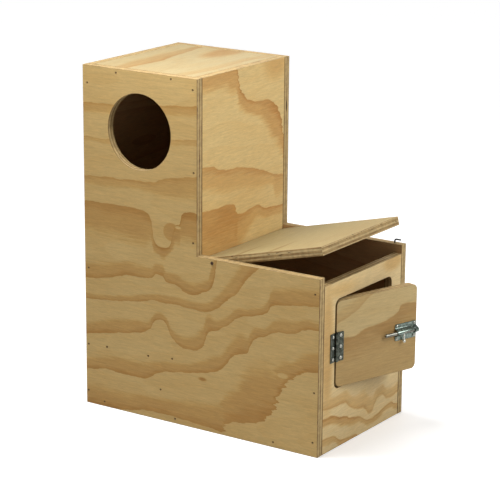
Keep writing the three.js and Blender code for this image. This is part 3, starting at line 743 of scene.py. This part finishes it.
# Nails through the front and back panels: (x, z) in millimetres from the panel's lower left
# corner, by the board that each row goes into.
NAIL_ROWS = {
    "top_panel": [(71.7, 602.9), (186.8, 604.5)],
    "left_wall": [(9.7, 579.4), (7.8, 250.1), (5.6, 109.7), (4.1, 23.3)],
    "tower_wall": [(231.3, 591.0), (233.3, 450.7), (232.4, 329.5)],
    "floor_panel": [(39.7, 8.5), (194.2, 8.3), (397.4, 9.1)],
    "end_panel": [(476.3, 281.1), (477.1, 112.1), (475.7, 25.0)],
    "landing_shelf": [(46.5, 111.7), (136.8, 112.1), (188.1, 116.6)],
    "landing_riser": [(163.1, 55.7)],
}
NAILS = [(x * MM, z * MM) for row in NAIL_ROWS.values() for x, z in row]
NAIL_RADIUS = 1.25 * MM
NAIL_ROOM = 0.15 * MM  # round each nail's head

nail_holes = [(x, z, NAIL_RADIUS + NAIL_ROOM) for x, z in NAILS]
front_frame, front_size = plywood(
    "front_panel", "box", "ply_face", X, Z, "front", SANDED, 1.0,
    holes=nail_holes, rings=FRONT_RINGS, patches=FRONT_PATCHES,
)
back_frame, back_size = plywood(
    "back_panel", "box", "ply_face", -X, Z, "back", SANDED, 31.0,
    holes=[(front_size.x - x, z, radius) for x, z, radius in nail_holes],
    voids=[(245, 522, 7.5, 3, 9, 2)],
)
plywood("left_wall", "box", "ply_face", -Y, Z, "left", SANDED, 43.0)
plywood(
    "tower_wall", "box", "ply_face", Y, Z, "tower", HONEY, 5.0,
    rings=TOWER_RINGS, patches=TOWER_PATCHES,
)
# The end panel's and the door's cut edges are darkened all over by tint: painted shade for the gap round
# the door.
plywood(
    "end_panel", "box", "ply_face", Y, Z, "end", CREAM, 9.0,
    rings=END_RINGS, patches=END_PATCHES, tint=0.85,
)
plywood(
    "top_panel", "box", "ply_pale", Y, -X, "top", PALE, 13.0,
    rings=TOP_RINGS, patches=TOP_PATCHES,
)
plywood("floor_panel", "box", "ply_inner", X, -Y, "floor", ROUGH, 51.0)
plywood("landing_shelf", "box", "ply_inner", Y, -X, "shelf", ROUGH, 57.0)
plywood("landing_riser", "box", "ply_inner", Y, Z, "riser", ROUGH, 63.0)
plywood(
    "lid", "lid", "ply_pale", Y, -X, "lid", OLIVE, 17.0, joint_turn("lid_hinge"),
    patches=LID_PATCHES, contrast=0.35, voids=[(238, 3, 7.6, 2.2, 6, 1.1)],
)
# The door is cut from the end panel; its darker palette is partly its own tone and partly painted shade,
# as the door is turned away from the right-hand lamp.
plywood(
    "door", "door", "ply_face", Y, Z, "door", KHAKI, 23.0, joint_turn("door_hinge"),
    rings=DOOR_RINGS, tint=0.9,
)

# ---------- nails


def lathe(profile, count=40, matrix=Matrix.Identity(4), bm=None):
    """Turns a profile of (radius, height) points about the matrix's Z. Its ends are on the axis."""
    bm = bm or bmesh.new()
    rings = []
    for radius, height in profile:
        points = circle((0, 0), radius, count if radius else 1)
        rings.append([bm.verts.new(matrix @ Vector((*point, height))) for point in points])
    for lower, upper in zip(rings, rings[1:]):
        for i, j in zip(range(count), [*range(1, count), 0]):
            corners = [lower[i % len(lower)], lower[j % len(lower)]]
            corners += [upper[j % len(upper)], upper[i % len(upper)]]
            bm.faces.new(list(dict.fromkeys(corners)))
    return bm


def nails(name, matrix, size, mirrored):
    """Set nails, whose heads are a little below the panel's face."""
    radius, shank = NAIL_RADIUS, 0.6 * NAIL_RADIUS
    top = size.z - 0.5 * MM
    bottom = top - 14 * MM
    profile = [
        (0, bottom), (shank, bottom + 2 * radius), (shank, top - radius), (radius, top - 0.8 * radius),
        (radius, top - 0.15 * MM), (0.8 * radius, top), (0, top + 0.08 * MM),
    ]
    bm = bmesh.new()
    for x, z in NAILS:
        lathe(profile, 16, Matrix.Translation((size.x - x if mirrored else x, z, 0)), bm)
    piece(name, finished(bm, name), [NAIL_STEEL], "box", matrix)


nails("front_nails", front_frame, front_size, mirrored=False)
nails("back_nails", back_frame, back_size, mirrored=True)

# ---------- solids for the fittings


def boolean(base, tool, operation):
    """Two closed bmeshes after a UNION, DIFFERENCE or INTERSECT, as a new bmesh."""
    for bm in (base, tool):
        bmesh.ops.recalc_face_normals(bm, faces=bm.faces)
    target, other = [added("solid", as_mesh("solid", bm)) for bm in (base, tool)]
    modifier = target.modifiers.new("boolean", "BOOLEAN")
    modifier.operation = operation
    modifier.solver = "EXACT"
    modifier.object = other
    bpy.context.view_layer.update()
    result = bmesh.new()
    result.from_object(target, bpy.context.evaluated_depsgraph_get())
    for used in (target, other):
        mesh = used.data
        bpy.data.objects.remove(used)
        bpy.data.meshes.remove(mesh)
    return result


def softened(bm, radius, angle=30.0):
    """Rounds every edge that is sharper than `angle` degrees."""
    bmesh.ops.remove_doubles(bm, verts=bm.verts, dist=0.002 * MM)
    bmesh.ops.dissolve_limit(bm, angle_limit=math.radians(0.5), verts=bm.verts, edges=bm.edges)
    limit = math.radians(angle)
    sharp = [edge for edge in bm.edges if len(edge.link_faces) == 2 and edge.calc_face_angle() > limit]
    bmesh.ops.bevel(
        bm, geom=sharp, offset=radius, segments=2, profile=0.5, affect="EDGES", clamp_overlap=True
    )
    return bm


def extruded(outline, low, high, taper=1.0):
    """A closed solid over an outline of (x, y) points, from Z = low to high. `taper` is how big
    its low end is, against its high end."""
    bm = bmesh.new()
    ends = ((low, taper), (high, 1.0))
    return closed(bm, [[bm.verts.new((*(point * scale), z)) for point in outline] for z, scale in ends])


def arc(centre, radius, start, end, steps):
    """Points on an arc, with its angles in degrees."""
    turns = [start + (end - start) * i / steps for i in range(steps + 1)]
    return [Vector(centre) + radius * Vector((cos(turn), sin(turn))) for turn in turns]


def rounded_box(low, high, radius, steps=6):
    """The outline of a rectangle with rounded corners."""
    low, high = Vector(low), Vector(high)
    middle = (low + high) / 2
    outline = []
    corners = [(high.x, high.y, 0), (low.x, high.y, 90), (low.x, low.y, 180), (high.x, low.y, 270)]
    for x, y, start in corners:
        pull = Vector((math.copysign(radius, middle.x - x), math.copysign(radius, middle.y - y)))
        outline += arc(Vector((x, y)) + pull, radius, start, start + 90, steps)
    return outline


def swept(bm, route, radius, count=16):
    """A round wire along `route`, with domed ends."""
    tangents = [(b - a).normalized() for a, b in zip(route[:1] + route[:-1], route[1:] + route[-1:])]
    side = tangents[0].orthogonal().normalized()
    stations = []
    for place, tangent in zip(route, tangents):
        side = (side - tangent * side.dot(tangent)).normalized()
        stations.append((place, side, tangent.cross(side), radius))
    domes = []
    for (place, *axes, _), out in ((stations[0], -tangents[0]), (stations[-1], tangents[-1])):
        domes.append([(place + out * radius * sin(a), *axes, radius * cos(a)) for a in (75, 50, 25)])
    rings = []
    for place, side, up, wide in domes[0] + stations + domes[1][::-1]:
        points = circle((0, 0), wide, count)
        rings.append([bm.verts.new(place + side * p.x + up * p.y) for p in points])
    return closed(bm, rings)


# ---------- screws

# rise: of the dome over its seat. pitch: of the thread. threaded: how much of the shank has one.
Screw = namedtuple("Screw", "rise pitch threaded")
FITTING_SCREW = Screw(1.6 * MM, 1.1 * MM, 0.72)
BOLT_SCREW = Screw(1.4 * MM, 1.0 * MM, 0.72)
PIVOT_SCREW = Screw(1.0 * MM, 1.6 * MM, 0.55)
THREAD_DEPTH = 0.32 * MM
THREAD_ROWS = 4  # rings of vertices in each turn of the thread
SHANK = 0.42  # its radius, as a share of the head's
CROSS_ARM, CROSS_WIDTH = 0.56, 0.17  # half sizes of the recess, as such shares
CROSS_DEPTH = 0.62  # of the dome's rise
CROSS_TAPER = 0.55 / 1.15  # how big the recess is at its bottom, against above the head


def cross_outline(arm, width):
    """The outline of a cross with arms of that length and half width."""
    quarter = [(arm, -width), (arm, width), (width, width)]
    turns = [Matrix.Rotation(math.radians(turn), 2) for turn in (0, 90, 180, 270)]
    return [turn @ Vector(point) for turn in turns for point in quarter]


def threaded(radius, bottom, top, pitch, columns=24):
    """A pointed shank about Z with a thread round it, as a closed bmesh."""
    bm = bmesh.new()
    count = math.ceil((top - bottom) / pitch * THREAD_ROWS)
    rings = []
    for row in range(count + 1):
        height = (top - bottom) * row / count
        point = min(1.0, height / (3.0 * radius) + 0.06)
        ring = []
        for column in range(columns):
            turn = 2 * math.pi * column / columns
            phase = (height / pitch - column / columns) % 1.0
            ridge = max(0.0, 1.0 - abs(phase - 0.5) / 0.3) if row < count else 0.0
            wide = (radius - THREAD_DEPTH * (1.0 - ridge)) * point
            ring.append(bm.verts.new((wide * math.cos(turn), wide * math.sin(turn), bottom + height)))
        rings.append(ring)
    return closed(bm, rings)


def screw(node, kind, out, body, material, turn):
    """A dome-headed cross-recess wood screw in place of a CAD one. `out` is where its head looks."""
    axes = out.to_track_quat("Z", "Y").to_matrix().to_4x4()
    low, high = reach(node, axes)
    head = (high.x - low.x) / 2
    rise = kind.rise
    length = high.z - low.z - rise
    seat = Vector(((low.x + high.x) / 2, (low.y + high.y) / 2, high.z - rise))
    matrix = axes @ Matrix.Translation(seat) @ turned(turn, "Z")
    rim = 0.22 * rise
    shank, inside = SHANK * head, -0.4 * length
    profile = [(0, inside), (shank, inside), (shank, 0), (head * 0.94, 0), (head, 0.35 * rim)]
    profile += [(head * cos(a), rim + (rise - rim) * sin(a)) for a in (0, 12, 25, 38, 52, 66, 80)]
    outline = [1.15 * point for point in cross_outline(CROSS_ARM * head, CROSS_WIDTH * head)]
    recess = extruded(outline, rise - CROSS_DEPTH * rise, rise * 1.3, CROSS_TAPER)
    bm = boolean(lathe(profile + [(0, rise)]), recess, "DIFFERENCE")
    thread = threaded(shank * 1.06, -length, -length * (1 - kind.threaded), kind.pitch)
    bm = boolean(bm, thread, "UNION")
    stand_in(node, "_detailed", bm, material, body, matrix, angle=32)


# ---------- door hinge

HINGE_LINE = Vector(JOINTS["door_hinge"]["pos_m"])
WALL = Matrix.Translation(HINGE_LINE)  # X out of the end wall, Y along it, Z up, from the pin
DOOR = WALL @ joint_turn("door_hinge")  # the same on the door, as it stands
OUT_OF_DOOR = (DOOR.to_3x3() @ X).normalized()

SHEET = 1.2 * MM  # thickness of the hinge's leaves and of the bolt's plate
SHEET_EDGE = 0.16 * MM  # the radius that its edges are rounded to
KNUCKLES = 5
KNUCKLE_GAP = 0.15 * MM  # at each end of a knuckle
PIN_RADIUS = 1.5 * MM
HINGE_HOLE = 1.6 * MM
BOLT_HOLE = 1.5 * MM
CURL_END = 118.0  # degrees round the pin, from straight out of the wood


def drilled(sheet, screws, matrix, radius, low, high):
    """The sheet with a hole along X, from low to high, for each of those screws."""
    holes = bmesh.new()
    profile = [(0, 0), (radius, 0), (radius, high - low), (0, high - low)]
    for node in screws:
        middle = sum(reach(node, matrix), Vector()) / 2
        place = Matrix.Translation((low, middle.y, middle.z))
        lathe(profile, 32, place @ turned(90, "Y"), holes)
    return boolean(sheet, holes, "DIFFERENCE")


def to_yz(bm):
    """Turns a solid drawn in XY and extruded along Z so that it is drawn in YZ, extruded along X."""
    bm.transform(Matrix(((0, 0, 1, 0), (1, 0, 0, 0), (0, 1, 0, 0), (0, 0, 0, 1))))
    return bm


def knuckle_outline(side, barrel, tail):
    """A sheet rolled round the pin, seen from above, with a tail along the wood."""
    outer = arc((0, 0), barrel, 180, 360 + CURL_END, 44)
    inner = arc((0, 0), PIN_RADIUS + 0.1 * MM, 360 + CURL_END, 180, 44)
    back, front = -barrel, SHEET - barrel
    outline = [Vector((back, tail))] + outer + inner + [Vector((front, 0.4 * MM)), Vector((front, tail))]
    points = [Vector((p.x, side * p.y)) for p in outline]
    return points if side > 0 else points[::-1]


def hinge_leaf(node, body, side, matrix, screws):
    """One leaf. `side` is 1 where it runs along +Y from the pin and -1 where it runs along -Y."""
    low, high = reach(node, matrix)
    barrel = -low.x
    far = high.y if side > 0 else low.y
    fixed_low, fixed_high = reach("hinge_fixed_leaf", matrix)
    bottom, top = fixed_low.z - KNUCKLE_GAP, fixed_high.z + KNUCKLE_GAP
    pitch = (top - bottom) / KNUCKLES
    near, far = sorted((side * (barrel + 0.6 * MM), far))
    outline = rounded_box((near, bottom), (far, top), 1.2 * MM)
    plate = to_yz(extruded(outline, -barrel, SHEET - barrel))
    outline = knuckle_outline(side, barrel, barrel + 3.2 * MM)
    for number in range(0 if side < 0 else 1, KNUCKLES, 2):
        z = bottom + number * pitch
        knuckle = extruded(outline, z + KNUCKLE_GAP, z + pitch - KNUCKLE_GAP)
        plate = boolean(plate, knuckle, "UNION")
    plate = softened(drilled(plate, screws, matrix, HINGE_HOLE, -2 * barrel, barrel), SHEET_EDGE)
    stand_in(node, "_rolled", plate, HINGE_ZINC, body, matrix)


def hinge_pin():
    low, high = reach("hinge_pin", WALL)
    head, radius = high.x, PIN_RADIUS
    rise = 1.1 * MM
    dome = 0.7 * rise
    profile = [(0, low.z), (radius * 0.55, low.z), (radius * 0.92, low.z + 0.35 * MM)]
    profile += [(radius, low.z + 0.8 * MM), (radius, high.z - rise)]
    profile += [(head * 0.93, high.z - rise), (head, high.z - 0.85 * rise)]
    profile += [(head * cos(a), high.z - dome + dome * sin(a)) for a in (10, 30, 50, 70)]
    stand_in("hinge_pin", "_turned", lathe(profile + [(0, high.z)]), PIN_STEEL, "box", WALL)


def screw_nodes(fitting, count):
    return [f"{fitting}_screw_{number + 1}" for number in range(count)]


def zinc_screws(nodes, kind, out, body, first, step):
    """A fitting's screws, each turned `step` degrees past the one before."""
    for number, node in enumerate(nodes):
        screw(node, kind, out, body, BRIGHT_ZINC, first + step * number)


fixed_screws, door_screws = screw_nodes("hinge_fixed", 3), screw_nodes("hinge_door", 3)
hinge_leaf("hinge_fixed_leaf", "box", -1, WALL, fixed_screws)
hinge_leaf("hinge_door_leaf", "door", 1, DOOR, door_screws)
hinge_pin()
zinc_screws(fixed_screws, FITTING_SCREW, X, "box", 15, 38)
zinc_screws(door_screws, FITTING_SCREW, OUT_OF_DOOR, "door", 70, -31)

# ---------- barrel bolt and its keeper

ARCH_FOOT = 7.5 * MM  # from the rod's axis to where the sheet starts to rise
ARCH_FILLET = 1.4 * MM
ARCH_ROOM = 0.4 * MM  # between the rod and the sheet
KNOB_STEM, KNOB_BALL = 1.75 * MM, 3.3 * MM  # radii
WINDOW_ROOM = 1.2 * MM  # beside the knob's stem
TRAVEL = JOINTS["bolt_slide"]["range_m"][1]
FITTING_BACK = reach("bolt_plate", DOOR)[0].x  # the back of every fitting, from the pin's axis

rod_low, rod_high = reach("bolt_rod", DOOR)
ROD_RADIUS = (rod_high.z - rod_low.z) / 2
ROD_X = (rod_low.x + rod_high.x) / 2
ROD_Z = (rod_low.z + rod_high.z) / 2


def filleted(before, corner, after, radius, steps=6):
    """The line from `before` to `after` by way of the corner, which is rounded."""
    a, b = (before - corner).normalized(), (after - corner).normalized()
    back = radius / math.tan(math.acos(max(-1.0, min(1.0, a.dot(b)))) / 2)
    start, end = corner + a * back, corner + b * back
    shares = [i / steps for i in range(steps + 1)]
    curve = [start * (1 - t) ** 2 + corner * 2 * t * (1 - t) + end * t ** 2 for t in shares]
    return [before, *curve, after]


def arch_side(half, foot, base, radius, fillet):
    """A side of the arched sheet's section, as (z, x) points, from one edge over the crown to the
    other."""
    shoulder = arc((0, ROD_X), radius, 180, 90, 14)
    line = filleted(Vector((-half, base)), Vector((-foot, base)), shoulder[0], fillet) + shoulder[1:]
    return line + [Vector((-p.x, p.y)) for p in line[-2::-1]]


def arch_section(half):
    inner_radius = ROD_RADIUS + ARCH_ROOM
    inner = arch_side(half, ARCH_FOOT - 1.1 * MM, FITTING_BACK, inner_radius, 1.8 * ARCH_FILLET)
    outer = arch_side(half, ARCH_FOOT, FITTING_BACK + SHEET, inner_radius + SHEET, ARCH_FILLET)
    return outer + inner[::-1]


def arched_sheet(node, body, matrix, screws, corner, window=None):
    """A pressed sheet with an arch for the rod, along Y."""
    low, high = reach(node, matrix)
    sheet = extruded(arch_section((high.z - low.z) / 2), low.y, high.y)
    # The section's X is the frame's Z and its Y is the frame's X; it runs along Y.
    sheet.transform(Matrix(((0, 1, 0, 0), (0, 0, 1, 0), (1, 0, 0, ROD_Z), (0, 0, 0, 1))))
    outline = rounded_box((low.y, low.z), (high.y, high.z), corner)
    sheet = boolean(sheet, to_yz(extruded(outline, low.x - MM, high.x + MM)), "INTERSECT")
    sheet = drilled(sheet, screws, matrix, BOLT_HOLE, 2 * low.x, 0)
    if window is not None:
        sheet = boolean(sheet, window, "DIFFERENCE")
    stand_in(node, "_pressed", softened(sheet, SHEET_EDGE), BOLT_ZINC, body, matrix)


def knob_window():
    """The room for the knob's stem, at both ends of its slide and up to straight out."""
    low, high = reach("bolt_knob", DOOR)
    middle = (low.y + high.y) / 2
    side = KNOB_STEM + WINDOW_ROOM
    room = KNOB_STEM + 0.3 * MM
    lowest = (middle - side, ROD_Z - 3 * ARCH_FOOT)
    outline = rounded_box(lowest, (middle + TRAVEL + side, ROD_Z + room), 1.2 * MM)
    return to_yz(extruded(outline, ROD_X - room, ROD_X + 4 * ROD_RADIUS))


def bolt_rod():
    length = rod_high.y - rod_low.y
    nose = 0.55 * ROD_RADIUS
    end = [(ROD_RADIUS * sin(a), nose * (1 - cos(a))) for a in (0, 15, 30, 45, 60, 75, 90)]
    profile = end + [(radius, length - height) for radius, height in reversed(end)]
    along = Matrix.Translation((ROD_X, rod_low.y, ROD_Z)) @ turned(-90, "X")
    stand_in("bolt_rod", "_turned", lathe(profile, 48, along), ROD_STEEL, "bolt_rod", DOOR)


def bolt_knob():
    """A ball on a waisted stem that starts inside the rod and hangs from it."""
    low, high = reach("bolt_knob", DOOR)
    bottom = ROD_Z - low.z
    start = ROD_RADIUS - 0.6 * MM
    neck = math.degrees(math.asin(0.8 * KNOB_STEM / KNOB_BALL))
    ball = arc((0, bottom - KNOB_BALL), KNOB_BALL, neck - 90, 90, 14)
    profile = [(0, start), (KNOB_STEM, start), (KNOB_STEM, start + 1.2 * MM)]
    profile += [(KNOB_STEM * 0.82, start + 2.2 * MM), *ball[:-1], (0, bottom)]
    place = Matrix.Translation((ROD_X, (low.y + high.y) / 2, ROD_Z)) @ turned(180, "X")
    bm = lathe(profile, 40, place)
    stand_in("bolt_knob", "_turned", bm, BRIGHT_ZINC, "bolt_knob", DOOR)


plate_screws, keeper_screws = screw_nodes("bolt", 4), screw_nodes("keeper", 2)
arched_sheet("bolt_plate", "door", DOOR, plate_screws, 2.4 * MM, knob_window())
zinc_screws(plate_screws, BOLT_SCREW, OUT_OF_DOOR, "door", 10, 47)
arched_sheet("keeper", "box", WALL, keeper_screws, 2.0 * MM)
zinc_screws(keeper_screws, BOLT_SCREW, X, "box", 25, 30)
bolt_rod()
bolt_knob()

# ---------- lid's pivots and hook

screw("lid_pivot_front", PIVOT_SCREW, -Y, "box", DARK_STEEL, turn=30)
screw("lid_pivot_back", PIVOT_SCREW, Y, "box", DARK_STEEL, turn=55)


def lid_hook():
    """A bent wire, upright in the wood and level at its top."""
    low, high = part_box("lid_hook")
    radius = (high.y - low.y) / 2
    bend = 2.4 * radius
    corner = arc((low.x + radius + bend, high.z - radius - bend), bend, 180, 90, 10)
    route = [(low.x + radius, low.z + radius), *corner, (high.x - radius, high.z - radius)]
    y = (low.y + high.y) / 2
    bm = swept(bmesh.new(), [Vector((x, y, z)) for x, z in route], radius * 0.94, 24)
    stand_in("lid_hook", "_wire", bm, PIN_STEEL, "lid_hook")


lid_hook()

# ---------- ladder and its staples

RUNGS, RAILS = 12, 4
MESH_PITCH = 25.4 * MM
LADDER_WIRE = 1.25 * MM  # radius
WELD = (1.35, 0.9, 1.35, 1)  # a weld's bead, against a ball as thick as the wire


def ladder():
    """Welded wire mesh: rungs laid on the room side of the rails, with a bead at each weld."""
    low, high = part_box("ladder")
    middle = (low.x + high.x) / 2
    rail_y, rung_y = low.y + LADDER_WIRE, high.y - LADDER_WIRE
    rails = [middle + (i - (RAILS - 1) / 2) * MESH_PITCH for i in range(RAILS)]
    rungs = [low.z + (i + 0.5) * MESH_PITCH for i in range(RUNGS)]
    wire = LADDER_WIRE
    wires = [((x, rail_y, low.z + wire), (x, rail_y, high.z - wire)) for x in rails]
    wires += [((low.x + wire, rung_y, z), (high.x - wire, rung_y, z)) for z in rungs]
    bm = bmesh.new()
    for ends in wires:
        swept(bm, [Vector(end) for end in ends], wire)
    for x, z in product(rails, rungs):
        bead = Matrix.Translation((x, (rail_y + rung_y) / 2, z)) @ Matrix.Diagonal(WELD)
        bmesh.ops.create_icosphere(bm, subdivisions=2, radius=wire, matrix=bead)
    stand_in("ladder", "_mesh", bm, WIRE, "box", angle=60)


def staple(node):
    """A round-shouldered wire staple, legs in the wood."""
    low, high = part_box(node)
    radius = (high.z - low.z) / 2
    left, right, foot = low.x + radius, high.x - radius, low.y + radius
    bend = 1.3 * radius
    crown = high.y - radius - bend
    shoulders = arc((left + bend, crown), bend, 180, 90, 6)
    shoulders += arc((right - bend, crown), bend, 90, 0, 6)
    route = [(left, foot), *shoulders, (right, foot)]
    z = (low.z + high.z) / 2
    bm = swept(bmesh.new(), [Vector((x, y, z)) for x, y in route], radius)
    stand_in(node, "_wire", bm, WIRE, "box")


ladder()
for number in (1, 2, 3, 4):
    staple(f"ladder_staple_{number}")

# ---------- studio

AIM = Vector((0.0302, -0.0281, 0.2994))  # where the camera and the lights look
AZIMUTH, ELEVATION, ROLL = 33.885, 15.279, -0.458  # of the camera, in degrees
DISTANCE = 3.56
LENS = 149.03
SENSOR = 36.0
FLOOR_SIZE = 30.0
FLOOR_GAP = 0.2 * MM  # below the box
FLOOR_GREY = 0.58  # what the floor's bounced light is worked out from
SEEN_GREY, SEEN_GLOW = 0.95, 0.31  # what the camera sees of it
WHITE_GLOW = (1.0, 1.0, 1.0, 1.0)


def direction(azimuth, elevation):
    """From the object towards azimuth (0 is -Y, 90 is +X) and elevation, in degrees."""
    return Vector((sin(azimuth) * cos(elevation), -cos(azimuth) * cos(elevation), sin(elevation)))


def add_camera():
    back = direction(AZIMUTH, ELEVATION)
    camera = added("camera", bpy.data.cameras.new("camera"))
    camera.data.lens = LENS
    camera.data.sensor_width = SENSOR
    camera.rotation_mode = "QUATERNION"
    camera.location = AIM + back * DISTANCE
    roll = turned(-ROLL, back).to_quaternion()
    camera.rotation_quaternion = roll @ (-back).to_track_quat("-Z", "Y")
    bpy.context.scene.camera = camera


def add_floor():
    bm = bmesh.new()
    bmesh.ops.create_grid(bm, x_segments=1, y_segments=1, size=FLOOR_SIZE)
    floor = added("floor", as_mesh("floor", bm))
    floor.location.z = -FLOOR_GAP
    graph = Graph("floor")
    seen = graph.node("LightPath").outputs["Is Camera Ray"]
    graph.surface({
        "Base Color": graph.mix(seen, (FLOOR_GREY,) * 3, (SEEN_GREY,) * 3),
        "Emission Color": WHITE_GLOW,
        "Emission Strength": graph.times(seen, SEEN_GLOW),
        "Roughness": 0.9,
        "Specular IOR Level": 0.1,
    })
    floor.data.materials.append(graph.material)


def add_light(kind, name, azimuth, elevation, power, distance=0.0, **settings):
    """A light that shines towards AIM."""
    light = bpy.data.lights.new(name, kind)
    light.energy = power
    for setting, value in settings.items():
        setattr(light, setting, value)
    lamp = added(name, light)
    away = direction(azimuth, elevation)
    lamp.location = AIM + away * distance
    lamp.rotation_mode = "QUATERNION"
    lamp.rotation_quaternion = away.to_track_quat("Z", "Y")
    lamp.visible_camera = False


def add_world(strength):
    world = bpy.data.worlds.new("studio")
    world.use_nodes = True
    background = world.node_tree.nodes["Background"]
    background.inputs["Color"].default_value = WHITE_GLOW
    background.inputs["Strength"].default_value = strength
    bpy.context.scene.world = world


add_camera()
add_floor()
add_light("SUN", "window", -76, 58, 2.05, angle=math.radians(32))
add_light("AREA", "front_box", -10, 69, 5.9, 0.92, shape="DISK", size=0.45)
add_light("AREA", "right_box", 101, 30, 9.3, 1.35, shape="DISK", size=1.0)
add_light("AREA", "back_box", 196, 34, 5.0, 1.7, shape="DISK", size=1.0)
add_world(0.18)
bpy.context.scene.view_settings.view_transform = "Standard"
